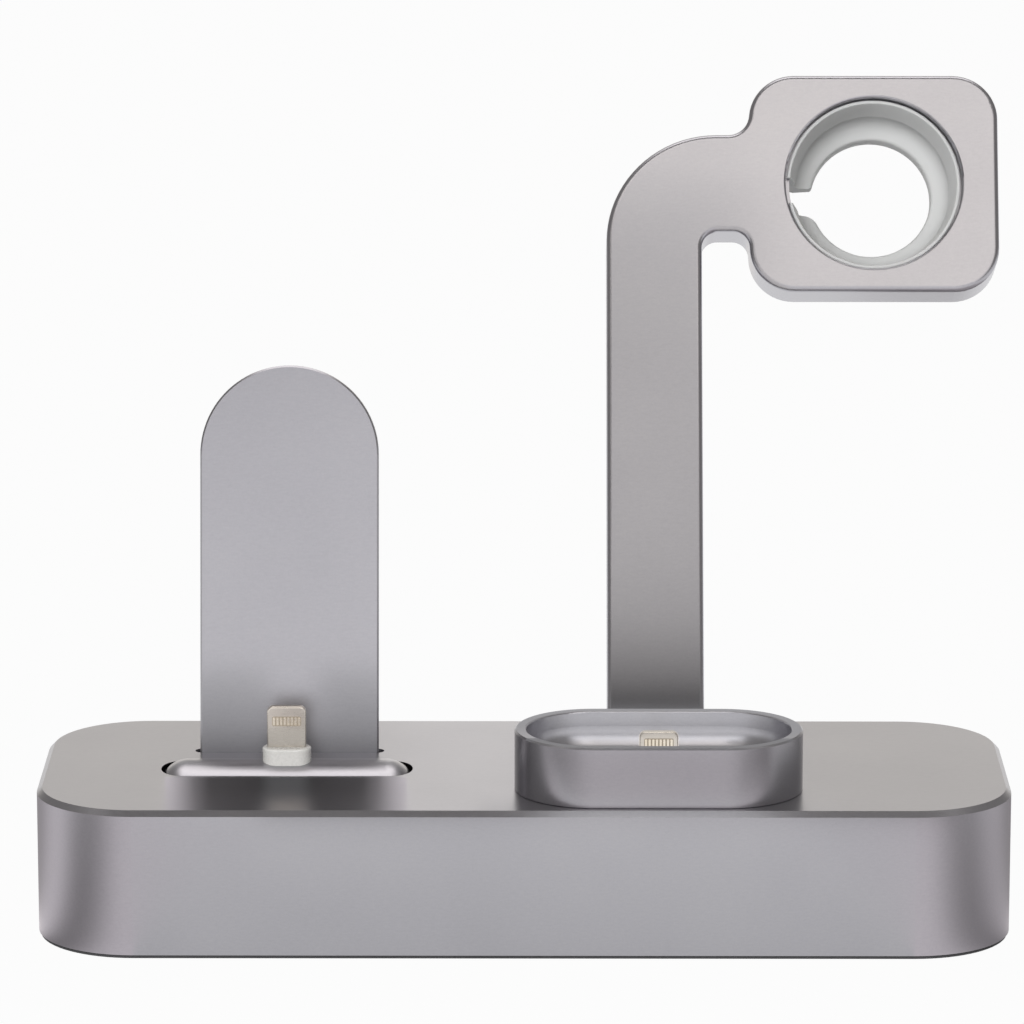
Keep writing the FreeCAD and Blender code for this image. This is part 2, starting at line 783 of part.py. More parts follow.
def make_power_inlet():
    # a socket shell with a tongue inside, its mouth to the back
    middle = board_top + inlet_height / 2
    shell = slab(inlet_width, inlet_height, inlet_height / 2, 0, inlet_depth)
    hollow_height = inlet_height - 2 * inlet_skin
    hollow = slab(inlet_width - 2 * inlet_skin, hollow_height, hollow_height / 2,
                  -over, inlet_depth - inlet_tongue)
    tongue_width = inlet_width - inlet_height
    tongue = box((-tongue_width / 2, -inlet_tongue / 2, inlet_tongue_inset),
                 (tongue_width / 2, inlet_tongue / 2, inlet_depth - inlet_tongue / 2))
    inlet = shell.cut(hollow).fuse(tongue).removeSplitter()
    inlet.rotate(vec(0, 0, 0), vec(1, 0, 0), 90)
    inlet.translate(vec(board_x, back_y - inlet_recess, middle))
    return inlet


def make_charge_chip():
    y = board_front + chip_from_front
    return box((board_x - chip_size / 2, y - chip_size / 2, board_top),
               (board_x + chip_size / 2, y + chip_size / 2, board_top + chip_height))


def make_lead_header(x):
    return box((x - header_width / 2, header_front, board_level - header_height),
               (x + header_width / 2, header_front + header_depth, board_level))


def make_lead(points):
    # a round lead along straight runs joined by arcs
    edges = []
    last = points[0]
    for before, corner, after in zip(points, points[1:], points[2:]):
        to_before = (before - corner).normalize()
        to_after = (after - corner).normalize()
        reach = lead_bend_share * min(before.distanceToPoint(corner), after.distanceToPoint(corner))
        half_angle = to_before.getAngle(to_after) / 2
        radius = reach * math.tan(half_angle)
        centre = corner + (to_before + to_after).normalize() * (reach / math.cos(half_angle))
        begin = corner + to_before * reach
        end = corner + to_after * reach
        middle = centre + (corner - centre).normalize() * radius
        print("lead bend radius", round(radius, 2))
        edges.append(Part.makeLine(last, begin))
        edges.append(Part.Arc(begin, middle, end).toShape())
        last = end
    edges.append(Part.makeLine(last, points[-1]))
    section = Part.Wire(Part.makeCircle(lead_radius, points[0], points[1] - points[0]))
    return Part.Wire(edges).makePipeShell([section], True, False)


def lead_route(x, y, top, header_x):
    return [vec(x, y, top), vec(x, y, lead_level), vec(header_x, y, lead_level),
            vec(header_x, header_front, lead_level)]


phone_header_x, cup_header_x = pair(header_spread, board_x)
phone_boot_top = base_height + boot_proud
cup_boot_top = base_height + cup_floor

pieces = {
    "base_housing": make_base_housing(),
    "bottom_cover": make_bottom_cover(),
    "bottom_cover_screws": make_bottom_cover_screws(),
    "base_pad": make_base_pad(),
    "phone_backrest": make_phone_backrest(),
    "backrest_screws": make_backrest_screws(),
    "phone_rocker": make_phone_rocker(),
    "rocker_pin_left": make_rocker_pin(-1),
    "rocker_pin_right": make_rocker_pin(1),
    "rocker_bearing_left": make_rocker_bearing(-1),
    "rocker_bearing_right": make_rocker_bearing(1),
    "rocker_bearing_screws": make_bearing_screws(),
    "phone_plug_boot": make_plug_boot(phone_x, rocker_y, rocker_seat, phone_boot_top),
    "phone_plug_tab": make_plug_tab(phone_x, rocker_y, phone_boot_top),
    "phone_plug_contacts": make_plug_contacts(phone_x, rocker_y, phone_boot_top),
    "phone_plug_clamp": make_plug_clamp(phone_x, rocker_y, rocker_seat),
    "phone_clamp_screws": make_clamp_screws(phone_x, rocker_y, rocker_seat, clamp_thread),
    "phone_lead": make_lead(lead_route(phone_x, rocker_y, rocker_seat - flange_thickness, phone_header_x)),
    "earbud_cup": make_earbud_cup(),
    "cup_screws": make_cup_screws(),
    "cup_plug_boot": make_plug_boot(cup_x, cup_y, ceiling, cup_boot_top),
    "cup_plug_tab": make_plug_tab(cup_x, cup_y, cup_boot_top),
    "cup_plug_contacts": make_plug_contacts(cup_x, cup_y, cup_boot_top),
    "cup_plug_clamp": make_plug_clamp(cup_x, cup_y, ceiling),
    "cup_clamp_screws": make_clamp_screws(cup_x, cup_y, ceiling, thread_depth),
    "cup_lead": make_lead(lead_route(cup_x, cup_y, ceiling - flange_thickness, cup_header_x)),
    "watch_arm": make_watch_arm(),
    "arm_screws": make_arm_screws(),
    "watch_ring_insert": make_watch_ring_insert(),
    "charge_board": make_charge_board(),
    "board_screws": make_board_screws(),
    "power_inlet": make_power_inlet(),
    "charge_chip": make_charge_chip(),
    "phone_lead_header": make_lead_header(phone_header_x),
    "cup_lead_header": make_lead_header(cup_header_x),
}

os.makedirs("parts", exist_ok=True)
for name, shape in pieces.items():
    shape.exportStep("parts/" + name + ".step")
    print(name, len(shape.Solids), shape.isValid(), round(shape.Volume, 1))
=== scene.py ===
import json
import math
import bmesh
import bpy
from mathutils import Matrix, Vector


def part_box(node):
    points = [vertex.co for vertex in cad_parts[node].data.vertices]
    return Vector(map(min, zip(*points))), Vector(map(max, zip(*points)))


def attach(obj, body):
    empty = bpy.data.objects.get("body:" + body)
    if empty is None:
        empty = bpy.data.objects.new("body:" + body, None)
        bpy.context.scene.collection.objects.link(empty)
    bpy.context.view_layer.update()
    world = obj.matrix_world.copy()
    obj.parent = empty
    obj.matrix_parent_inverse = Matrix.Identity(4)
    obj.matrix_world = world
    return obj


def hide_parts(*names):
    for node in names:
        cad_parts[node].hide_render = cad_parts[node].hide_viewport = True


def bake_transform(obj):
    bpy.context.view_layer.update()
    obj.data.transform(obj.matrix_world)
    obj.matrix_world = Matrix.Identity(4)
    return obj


# Phone and watch charging stand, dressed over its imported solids, in metres
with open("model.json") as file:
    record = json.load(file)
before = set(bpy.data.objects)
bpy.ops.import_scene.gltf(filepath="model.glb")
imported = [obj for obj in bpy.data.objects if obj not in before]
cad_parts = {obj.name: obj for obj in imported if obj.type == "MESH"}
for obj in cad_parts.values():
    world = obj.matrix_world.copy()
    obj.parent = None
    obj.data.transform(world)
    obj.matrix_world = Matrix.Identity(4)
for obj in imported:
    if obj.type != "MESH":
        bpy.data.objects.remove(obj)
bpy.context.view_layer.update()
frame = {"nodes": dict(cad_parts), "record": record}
nodes = frame["nodes"]
scene = bpy.context.scene
print("frame loaded:", len(nodes), "solids")


def linear(hexColor):
    # sRGB hex to the linear colour that shaders take
    channels = [int(hexColor[i:i + 2], 16) / 255 for i in (1, 3, 5)]
    return [c / 12.92 if c <= 0.04045 else ((c + 0.055) / 1.055) ** 2.4 for c in channels] + [1.0]


def perMm(size):
    # texture scale for a feature of this many millimetres
    return 1000.0 / size


def addObject(name, data):
    # one object at the origin, in the scene
    added = bpy.data.objects.new(name, data)
    scene.collection.objects.link(added)
    return added


def addNode(tree, kind, inputs=None, **settings):
    # one node, its settings, and its inputs as values or as sockets to link from
    node = tree.nodes.new(kind)
    for key, value in settings.items():
        setattr(node, key, value)
    for key, value in (inputs or {}).items():
        if isinstance(value, bpy.types.NodeSocket):
            tree.links.new(value, node.inputs[key])
        else:
            node.inputs[key].default_value = value
    return node


def calc(tree, operation, *values):
    # one step of arithmetic on numbers or sockets
    return addNode(tree, "ShaderNodeMath", dict(enumerate(values)), operation=operation).outputs[0]


def split(tree, vector):
    # the X, Y and Z of a vector
    return addNode(tree, "ShaderNodeSeparateXYZ", {0: vector}).outputs


def spread(tree, value, low, high, toLow=0.0, toHigh=1.0, ease="LINEAR"):
    # the span from low to high, laid over another span
    return addNode(tree, "ShaderNodeMapRange", {
        "Value": value, "From Min": low, "From Max": high, "To Min": toLow, "To Max": toHigh,
    }, interpolation_type=ease).outputs["Result"]


def mixShaders(tree, share, first, second):
    return addNode(tree, "ShaderNodeMixShader", {0: share, 1: first, 2: second}).outputs[0]


def setStops(ramp, stops):
    # colour stops as (place, colour)
    elements = ramp.color_ramp.elements
    while len(elements) > len(stops):
        elements.remove(elements[-1])
    while len(elements) < len(stops):
        elements.new(0.5)
    for element, (place, color) in zip(elements, sorted(stops)):
        element.position = place
        element.color = color
    return ramp


def makeRamp(tree, share, stops):
    return setStops(addNode(tree, "ShaderNodeValToRGB", {0: share}), stops)


def emptyMaterial(name):
    material = bpy.data.materials.new(name)
    material.use_nodes = True
    material.node_tree.nodes.clear()
    return material, material.node_tree


# Camera at the photograph's place
cameraSetup = {
    "place": (0.0018, -1.012, 0.2979),
    "lookDown": 12.67,
    "turn": 0.22,
    "lens": 213.3,
    "sensor": 36.0,
}


def makeCamera():
    data = bpy.data.cameras.new("photoCamera")
    data.lens = cameraSetup["lens"]
    data.sensor_width = cameraSetup["sensor"]
    camera = addObject("photoCamera", data)
    camera.location = cameraSetup["place"]
    camera.rotation_euler = (math.radians(90 - cameraSetup["lookDown"]), 0, math.radians(cameraSetup["turn"]))
    scene.camera = camera
    scene.view_settings.view_transform = "Standard"


makeCamera()
print("camera placed")


# Room: light by direction, from the back horizon (0) over the top (0.5) to the front horizon (1)
roomLight = {
    "strength": 2.0,
    "onPlastics": 0.75,
    "sweep": [
        (0.00, (0.550, 0.528, 0.490, 1)),
        (0.085, (0.550, 0.528, 0.490, 1)),
        (0.13, (0.26, 0.255, 0.25, 1)),
        (0.25, (0.24, 0.235, 0.23, 1)),
        (0.32, (1.06, 1.02, 1.00, 1)),
        (0.49, (1.08, 1.04, 1.02, 1)),
        (0.508, (1.00, 0.97, 0.95, 1)),
        (0.527, (0.01, 0.01, 0.01, 1)),
        (0.645, (0.01, 0.01, 0.01, 1)),
        (0.672, (1.00, 0.965, 0.92, 1)),
        (0.75, (0.92, 0.88, 0.825, 1)),
        (0.82, (0.80, 0.765, 0.72, 1)),
        (0.90, (0.64, 0.635, 0.64, 1)),
        (1.00, (0.61, 0.605, 0.61, 1)),
    ],
    "side": (0.15, 0.145, 0.14, 1),
    "sideFrom": 0.26,
    "sideTo": 0.58,
}


def makeRoom():
    room = roomLight
    world = bpy.data.worlds.new("studioRoom")
    world.use_nodes = True
    scene.world = world
    tree = world.node_tree
    tree.nodes.clear()
    part = split(tree, addNode(tree, "ShaderNodeTexCoord").outputs["Generated"])
    turn = calc(tree, "DIVIDE", calc(tree, "ARCTAN2", part["Z"], part["Y"]), math.pi)
    sweep = makeRamp(tree, calc(tree, "ABSOLUTE", turn), room["sweep"])
    sweep.color_ramp.interpolation = "EASE"
    aside = spread(tree, calc(tree, "ABSOLUTE", part["X"]), room["sideFrom"], room["sideTo"], ease="SMOOTHSTEP")
    glow = addNode(tree, "ShaderNodeMix", {
        "Factor": aside, "A": sweep.outputs["Color"], "B": room["side"],
    }, data_type="RGBA").outputs["Result"]
    path = addNode(tree, "ShaderNodeLightPath").outputs
    # the plastics take less of it than the metal mirrors
    less = room["onPlastics"] - room["strength"]
    strength = calc(tree, "MULTIPLY_ADD", path["Is Diffuse Ray"], less, room["strength"])
    lamp = addNode(tree, "ShaderNodeBackground", {"Color": glow, "Strength": strength}).outputs[0]
    plain = addNode(tree, "ShaderNodeBackground", {"Color": (1, 1, 1, 1), "Strength": 1.0}).outputs[0]
    mixed = mixShaders(tree, path["Is Camera Ray"], lamp, plain)
    addNode(tree, "ShaderNodeOutputWorld", {"Surface": mixed})


makeRoom()


def makeQuad(name, corners, material):
    mesh = bpy.data.meshes.new(name)
    mesh.from_pydata(corners, [], [(0, 1, 2, 3)])
    mesh.materials.append(material)
    return addObject(name, mesh)


def upright(x0, x1, y, z0, z1):
    return [(x0, y, z0), (x1, y, z0), (x1, y, z1), (x0, y, z1)]


def lying(x0, x1, y0, y1, z):
    return [(x0, y0, z), (x1, y0, z), (x1, y1, z), (x0, y1, z)]


# Floor: white to the eye and in the metal, with the stand's soft shadow kept
floorSetup = {"half": 4.0, "eyeGlow": 0.97, "mirrorGlow": 0.94, "mirrorLift": 0.20, "paint": "#7C7C7B"}


def makeFloor():
    material, tree = emptyMaterial("matt white sweep paper")
    path = addNode(tree, "ShaderNodeLightPath").outputs
    mirror = calc(tree, "MAXIMUM", path["Is Glossy Ray"], path["Is Transmission Ray"])
    mirror = calc(tree, "MULTIPLY", mirror, floorSetup["mirrorGlow"])
    eye = calc(tree, "MULTIPLY", path["Is Camera Ray"], floorSetup["eyeGlow"])
    share = calc(tree, "MAXIMUM", eye, mirror)
    strength = calc(tree, "MULTIPLY_ADD", mirror, floorSetup["mirrorLift"], 1.0)
    paper = addNode(tree, "ShaderNodeBsdfDiffuse", {"Color": linear(floorSetup["paint"])}).outputs[0]
    glow = addNode(tree, "ShaderNodeEmission", {"Color": (1, 1, 1, 1), "Strength": strength}).outputs[0]
    addNode(tree, "ShaderNodeOutputMaterial", {"Surface": mixShaders(tree, share, paper, glow)})
    half = floorSetup["half"]
    floor = makeQuad("floor", lying(-half, half, -half, half, 0.0), material)


makeFloor()


# Studio cards, which only mirrors see. Corners are in metres, and the glow runs along an axis
# or, in degrees, round a middle. Some have soft edges (fade) or another glow by height behind (rear)
white = (1.0, 1.0, 1.0)
mauve = (1.06, 1.0, 1.02)
warm = (1.03, 1.0, 0.96)
cardLift = 0.0004  # cards on the floor lie this far above it
brightest = 2.1  # glow at the top of the cards' ramps
footGlow = [(0.0288, 0.34), (0.0300, 0.56), (0.0345, 0.74), (0.039, 0.90), (0.043, 1.05)]
studioCards = {
    # on the floor before the base's front, brighter further out
    "frontCard": {
        "corners": lying(-0.0659, 0.0659, -0.40, -0.031, cardLift),
        "axis": "Y",
        "glow": [(-0.40, 1.14), (-0.17, 1.12), (-0.12, 1.06), (-0.08, 0.98), (-0.031, 0.90)],
    },
    # on the floor round the base's two front corners, as their upright dark bands
    "leftCard": {
        "corners": lying(-0.20, -0.0659, -0.30, 0.15, cardLift),
        "middle": (-0.0659, -0.0135), "tint": mauve,
        "glow": [(0, 1.0), (14, 0.95), (22, 0.85), (30, 0.68), (39, 0.50), (47, 0.40), (56, 0.38),
                 (65, 0.48), (75, 0.74), (86, 0.98), (97, 0.98), (110, 0.80), (126, 0.52), (147, 0.40),
                 (180, 0.40)],
    },
    "rightCard": {
        "corners": lying(0.0659, 0.20, -0.30, 0.15, cardLift),
        "middle": (0.0659, -0.0135), "tint": mauve,
        "glow": [(0, 0.98), (14, 0.95), (22, 0.88), (30, 0.74), (39, 0.57), (47, 0.46), (56, 0.40),
                 (65, 0.42), (75, 0.52), (86, 0.65), (97, 0.70), (110, 0.64), (126, 0.44), (147, 0.34),
                 (180, 0.34)],
    },
    # low and upright before the base, mirrored by the cup's front, darker to both sides
    "cupCard": {
        "corners": upright(-0.045, 0.091, -0.045, 0.0218, 0.0335),
        "axis": "X", "tint": mauve,
        "glow": [(-0.045, 0.30), (-0.025, 0.34), (-0.010, 0.44), (0.0013, 0.58), (0.0045, 0.66),
                 (0.0095, 0.74), (0.0119, 0.76), (0.0229, 0.75), (0.0339, 0.76), (0.0363, 0.74),
                 (0.0413, 0.66), (0.0445, 0.56), (0.0558, 0.40), (0.070, 0.27), (0.091, 0.16)],
    },
    # inside the cup: before its back wall, before its plug and across its round ends
    "cupInside": {
        "corners": upright(0.001, 0.045, -0.0136, 0.0280, 0.0362),
        "axis": "Z", "fade": 0.003,
        "glow": [(0.0280, 0.78), (0.0306, 0.86), (0.0330, 1.30), (0.0362, 1.60)],
    },
    "cupPlug": {
        "corners": upright(0.015, 0.031, -0.0215, 0.0280, 0.0355),
        "axis": "Z", "fade": 0.003,
        "glow": [(0.0280, 0.85), (0.0355, 1.0)],
    },
    "cupAcross": {
        "corners": [(0.0229, -0.0265, 0.0280), (0.0229, -0.0035, 0.0280),
                    (0.0229, -0.0035, 0.0362), (0.0229, -0.0265, 0.0362)],
        "axis": "Z", "fade": 0.003,
        "glow": [(0.0280, 0.85), (0.0362, 0.85)],
    },
    # before the base and above the cup, mirrored by the round foot of the cup's back wall
    "cupAbove": {
        "corners": upright(0.004, 0.042, -0.045, 0.043, 0.070),
        "axis": "Z",
        "glow": [(0.043, 2.0), (0.070, 2.0)],
    },
    # low strips above the cup: its rim turns darker at the front than at the back
    "rimFront": {
        "corners": upright(-0.001, 0.047, -0.0215, 0.0362, 0.0400),
        "axis": "Z",
        "glow": [(0.0362, 0.40), (0.0400, 0.40)],
    },
    "rimBack": {
        "corners": upright(-0.009, 0.055, 0.0005, 0.0350, 0.0440),
        "axis": "Z", "fade": 0.002,
        "glow": [(0.0350, 0.62), (0.0440, 0.62)],
    },
    # far behind, brightening the middle of the base's top
    "backCard": {
        "corners": upright(-0.036, 0.012, 0.30, 0.02, 0.20),
        "axis": "Z", "tint": warm,
        "glow": [(0.02, 1.16), (0.20, 1.16)],
    },
    # upright and black, far before the phone dock: the backrest's mirror image on the base turns dark
    "phoneCard": {
        "corners": upright(-0.13, -0.005, -0.25, 0.18, 0.36),
        "axis": "Z",
        "glow": [(0.18, 0.0), (0.36, 0.0)],
    },
    # upright just before the rocker, either side of the plug and before it: dark to the base's top,
    # as the dark patch there, and paler to the backrest, whose foot darkens downwards
    "patchLeft": {
        "corners": upright(-0.0615, -0.0452, -0.0080, 0.0258, 0.0430),
        "axis": "X", "tint": mauve, "rear": footGlow,
        "glow": [(-0.0615, 0.95), (-0.0590, 0.62), (-0.0565, 0.25), (-0.0540, 0.09), (-0.0452, 0.055)],
    },
    "patchMiddle": {
        "corners": upright(-0.0452, -0.0364, -0.0080, 0.0258, 0.0320),
        "axis": "X", "rear": [(0.0258, 0.55), (0.0320, 0.55)],
        "glow": [(-0.0452, 0.07), (-0.043, 0.13), (-0.0386, 0.13), (-0.0364, 0.07)],
    },
    "patchRight": {
        "corners": upright(-0.0364, -0.0201, -0.0080, 0.0258, 0.0430),
        "axis": "X", "tint": mauve, "rear": footGlow,
        "glow": [(-0.0364, 0.055), (-0.0276, 0.09), (-0.0251, 0.25), (-0.0226, 0.62), (-0.0201, 0.95)],
    },
    # upright behind the cup: the watch arm darkens towards its foot
    "armFlag": {
        "corners": upright(0.006, 0.042, 0.004, 0.0375, 0.160),
        "axis": "Z", "tint": warm,
        "glow": [(0.0375, 0.08), (0.0405, 0.18), (0.044, 0.37), (0.0513, 0.60), (0.0585, 0.78),
                 (0.069, 0.91), (0.08, 0.98), (0.097, 1.02), (0.131, 1.04), (0.147, 1.14), (0.160, 1.30)],
    },
}


def makeGlow(tree, along, stops, tint):
    # emission whose strength follows the stops
    first, last = stops[0][0], stops[-1][0]
    ramp = makeRamp(tree, spread(tree, along, first, last), [
        ((at - first) / (last - first), [glow / brightest * t for t in tint] + [1]) for at, glow in stops
    ])
    return addNode(tree, "ShaderNodeEmission", {
        "Color": ramp.outputs["Color"], "Strength": brightest,
    }).outputs[0]


def angleRound(tree, place, middle):
    # degrees from straight ahead, the same to the left and to the right
    away = addNode(tree, "ShaderNodeVectorMath", {0: place, 1: (*middle, 0)}, operation="SUBTRACT")
    part = split(tree, away.outputs["Vector"])
    across = calc(tree, "ABSOLUTE", part["X"])
    ahead = calc(tree, "MULTIPLY", part["Y"], -1.0)
    return calc(tree, "DEGREES", calc(tree, "ARCTAN2", across, ahead))


def softEdges(tree, part, corners, fade):
    # 1 inside the card, falling to 0 at its edges, so that it leaves no hard line in the metal
    solid = 1.0
    for index, axis in enumerate("XYZ"):
        low = min(corner[index] for corner in corners)
        high = max(corner[index] for corner in corners)
        if high == low:
            continue
        for edge, inner in ((low, low + fade), (high, high - fade)):
            solid = calc(tree, "MULTIPLY", spread(tree, part[axis], edge, inner, ease="SMOOTHSTEP"), solid)
    return solid


def makeCard(name, card):
    material, tree = emptyMaterial(name)
    place = addNode(tree, "ShaderNodeTexCoord").outputs["Object"]
    part = split(tree, place)
    if "middle" in card:
        along = angleRound(tree, place, card["middle"])
    else:
        along = part[card["axis"]]
    glow = makeGlow(tree, along, card["glow"], card.get("tint", white))
    if "rear" in card:
        # the side that faces the back of the stand
        behind = addNode(tree, "ShaderNodeNewGeometry").outputs["Backfacing"]
        glow = mixShaders(tree, behind, glow, makeGlow(tree, part["Z"], card["rear"], white))
    if "fade" in card:
        solid = softEdges(tree, part, card["corners"], card["fade"])
        glow = mixShaders(tree, solid, addNode(tree, "ShaderNodeBsdfTransparent").outputs[0], glow)
    addNode(tree, "ShaderNodeOutputMaterial", {"Surface": glow})
    plane = makeQuad(name, card["corners"], material)
    plane.visible_camera = False
    plane.visible_diffuse = False
    plane.visible_shadow = False
    plane.visible_transmission = False


for cardName, cardSetup in studioCards.items():
    makeCard(cardName, cardSetup)


# Soft front lamp for the plastics, which the metal doesn't mirror
frontLamp = {"place": (-0.18, -0.80, 0.44), "aim": (0.0, 0.0, 0.06), "size": 0.7, "watts": 8.0}


def makeLamp():
    lamp = bpy.data.lights.new("frontLamp", "AREA")
    lamp.size = frontLamp["size"]
    lamp.energy = frontLamp["watts"]
    holder = addObject("frontLamp", lamp)
    holder.location = frontLamp["place"]
    holder.rotation_euler = (Vector(frontLamp["aim"]) - holder.location).to_track_quat("-Z", "Y").to_euler()
    holder.visible_glossy = False


makeLamp()
print("room, floor, cards and lamp made")


# Finishes: each pattern lies in object coordinates, with its size in real millimetres
noiseSpan = (0.3, 0.7)  # most of a noise lies between these


def startMaterial(name):
    # an empty material with its shader and object coordinates ready
    material, tree = emptyMaterial(name)
    shader = addNode(tree, "ShaderNodeBsdfPrincipled")
    addNode(tree, "ShaderNodeOutputMaterial", {"Surface": shader.outputs["BSDF"]})
    place = addNode(tree, "ShaderNodeTexCoord").outputs["Object"]
    return material, tree, shader, place


def makeNoise(tree, place, sizeMm, detail, roughness=0.5):
    return addNode(tree, "ShaderNodeTexNoise", {
        "Vector": place, "Scale": perMm(sizeMm), "Detail": detail, "Roughness": roughness,
    }).outputs["Fac"]


def stretchX(tree, place, share):
    # coordinates that draw a pattern out along X
    return addNode(tree, "ShaderNodeMapping", {"Vector": place, "Scale": (share, 1.0, 1.0)}).outputs["Vector"]


def makeBump(tree, height, strength, depth):
    return addNode(tree, "ShaderNodeBump", {
        "Height": height, "Strength": strength, "Distance": depth,
    }).outputs["Normal"]


def swing(tree, pattern, middle, reach):
    # a value that follows the pattern to either side of its middle
    return spread(tree, pattern, *noiseSpan, middle - reach, middle + reach)


def joinShader(tree, shader, color, roughness, normal):
    tree.links.new(color.outputs["Color"], shader.inputs["Base Color"])
    tree.links.new(roughness, shader.inputs["Roughness"])
    tree.links.new(normal, shader.inputs["Normal"])


# Anodised aluminium, milled, finely blasted and dyed space grey: satin, with a fine grain and faint lines
anodisedLook = {
    "color": "#A9A8AD", "paler": "#AEADB1", "deeper": "#A4A3A8",
    "roughness": 0.29, "roughnessReach": 0.015,
    "grainMm": 0.30,  # real blast pits are near 0.05 mm, drawn coarser so that they show
    "grainStrength": 0.12, "grainDepth": 0.000004,
    "lineMm": 0.34,  # tool lines, also drawn coarser
    "lineStretch": 0.30, "lineShare": 0.8,
    "cloudMm": 26.0,
    "toneSpan": (0.95, 1.85),
}


def makeAnodised():
    look = anodisedLook
    material, tree, shader, place = startMaterial("milled and blasted space grey anodised aluminium")
    grain = makeNoise(tree, place, look["grainMm"], 3.0, 0.6)
    lines = makeNoise(tree, stretchX(tree, place, look["lineStretch"]), look["lineMm"], 2.0)
    cloud = makeNoise(tree, place, look["cloudMm"], 2.0)
    tone = calc(tree, "MULTIPLY_ADD", lines, look["lineShare"], calc(tree, "ADD", grain, cloud))
    dye = makeRamp(tree, spread(tree, tone, *look["toneSpan"]), [
        (0.0, linear(look["deeper"])), (0.5, linear(look["color"])), (1.0, linear(look["paler"])),
    ])
    satin = swing(tree, grain, look["roughness"], look["roughnessReach"])
    pits = makeBump(tree, grain, look["grainStrength"], look["grainDepth"])
    joinShader(tree, shader, dye, satin, pits)
    shader.inputs["Metallic"].default_value = 1.0
    return material


# Moulded plastics: even colour with a faint flow cloud, a skin of fine spark texture and a soft gloss
mouldedLook = {"reach": 0.04, "bump": 0.3, "ior": 1.49}


def makeMoulded(name, color, flow, roughness, skinMm, skinDepth, cloudMm=14.0, sheen=0.5):
    material, tree, shader, place = startMaterial(name)
    cloud = makeNoise(tree, place, cloudMm, 2.0)
    skin = makeNoise(tree, place, skinMm, 4.0, 0.6)
    tint = makeRamp(tree, cloud, [(0.35, linear(flow)), (0.65, linear(color))])
    gloss = swing(tree, skin, roughness, mouldedLook["reach"])
    joinShader(tree, shader, tint, gloss, makeBump(tree, skin, mouldedLook["bump"], skinDepth))
    shader.inputs["IOR"].default_value = mouldedLook["ior"]
    shader.inputs["Specular IOR Level"].default_value = sheen
    return material


# Plated or rolled metals: fine lines along X from rolling or polishing, and a little uneven shine
linedLook = {"stretch": 0.04, "patchMm": 2.5, "reach": 0.05, "bump": 0.3}


def makeLined(name, color, worn, roughness, lineMm, lineDepth):
    material, tree, shader, place = startMaterial(name)
    lines = makeNoise(tree, stretchX(tree, place, linedLook["stretch"]), lineMm, 3.0, 0.55)
    patch = makeNoise(tree, place, linedLook["patchMm"], 3.0)
    tint = makeRamp(tree, patch, [(0.3, linear(worn)), (0.7, linear(color))])
    shine = swing(tree, lines, roughness, linedLook["reach"])
    joinShader(tree, shader, tint, shine, makeBump(tree, lines, linedLook["bump"], lineDepth))
    shader.inputs["Metallic"].default_value = 1.0
    return material


# Board laminate: green mask over a copper net, a raised line where a track runs under the mask
boardLook = {
    "mask": "#14432C", "track": "#1F5E3C", "trackMm": 0.9, "roughness": 0.38,
    "bump": 0.4, "trackDepth": 0.00003,
}


def makeLaminate():
    material, tree, shader, place = startMaterial("glass laminate under green solder mask")
    net = addNode(tree, "ShaderNodeTexBrick", {
        "Vector": place, "Color1": (0, 0, 0, 1), "Color2": (0, 0, 0, 1), "Mortar": (1, 1, 1, 1),
        "Scale": perMm(4 * boardLook["trackMm"]), "Mortar Size": 0.06, "Brick Width": 0.9, "Row Height": 0.45,
    }).outputs["Fac"]
    tint = makeRamp(tree, net, [(0.2, linear(boardLook["mask"])), (0.8, linear(boardLook["track"]))])
    bump = makeBump(tree, net, boardLook["bump"], boardLook["trackDepth"])
    tree.links.new(tint.outputs["Color"], shader.inputs["Base Color"])
    tree.links.new(bump, shader.inputs["Normal"])
    shader.inputs["Roughness"].default_value = boardLook["roughness"]
    return material


finishes = {
    "anodised_aluminium": makeAnodised(),
    # pale and nearly matt, so that the ring's funnel shades softly
    "insert_plastic": makeMoulded(
        "moulded light grey polycarbonate", "#CBCCCC", "#C7C8C8", 0.42, 0.4, 0.000003, sheen=0.2),
    # smooth and white, with a small highlight along the boot's edge
    "boot_plastic": makeMoulded("moulded white ABS", "#CFCECB", "#CDCCC9", 0.28, 0.5, 0.0000005, cloudMm=3.0),
    # waxy black
    "bearing_plastic": makeMoulded("moulded black acetal", "#232326", "#1F1F22", 0.36, 0.4, 0.000004),
    # dull black
    "chip_plastic": makeMoulded("moulded black epoxy", "#1B1B1D", "#18181A", 0.55, 0.25, 0.000004),
    # matt dark grey, a thin soft line under the base
    "pad_rubber": makeMoulded("moulded anti-slip rubber", "#444446", "#3F3F41", 0.78, 0.6, 0.00002),
    # matt off-white
    "lead_jacket": makeMoulded("soft extruded jacket", "#DAD9D7", "#D5D4D2", 0.55, 0.8, 0.000006),
    # warm and pale, with fine polishing lines
    "tab_steel": makeLined("nickel plated steel", "#DDD6CD", "#DAD3CA", 0.30, 0.12, 0.0000005),
    # cool and a little cloudy
    "screw_steel": makeLined("zinc plated steel", "#B9BABC", "#AEAFB2", 0.36, 0.2, 0.000003),
    # dark, with the sheet's rolling lines under the coat
    "cover_steel": makeLined("black coated steel sheet", "#3A3A3C", "#343436", 0.45, 0.3, 0.000003),
    # brown, setting the pads apart
    "contact_bed": makeMoulded("moulded brown insulating resin", "#A39684", "#9D907F", 0.45, 0.2, 0.000001),
    # pale gold that catches the light
    "contact_gold": makeLined("gold plated copper", "#F5ECDD", "#F0E5D2", 0.28, 0.12, 0.000001),
    "board_laminate": makeLaminate(),
}
for entry in frame["record"]["subparts"]:
    nodes[entry["node"]].data.materials[0] = finishes[entry["material_slot"]]
print("finishes laid on", len(nodes), "solids")


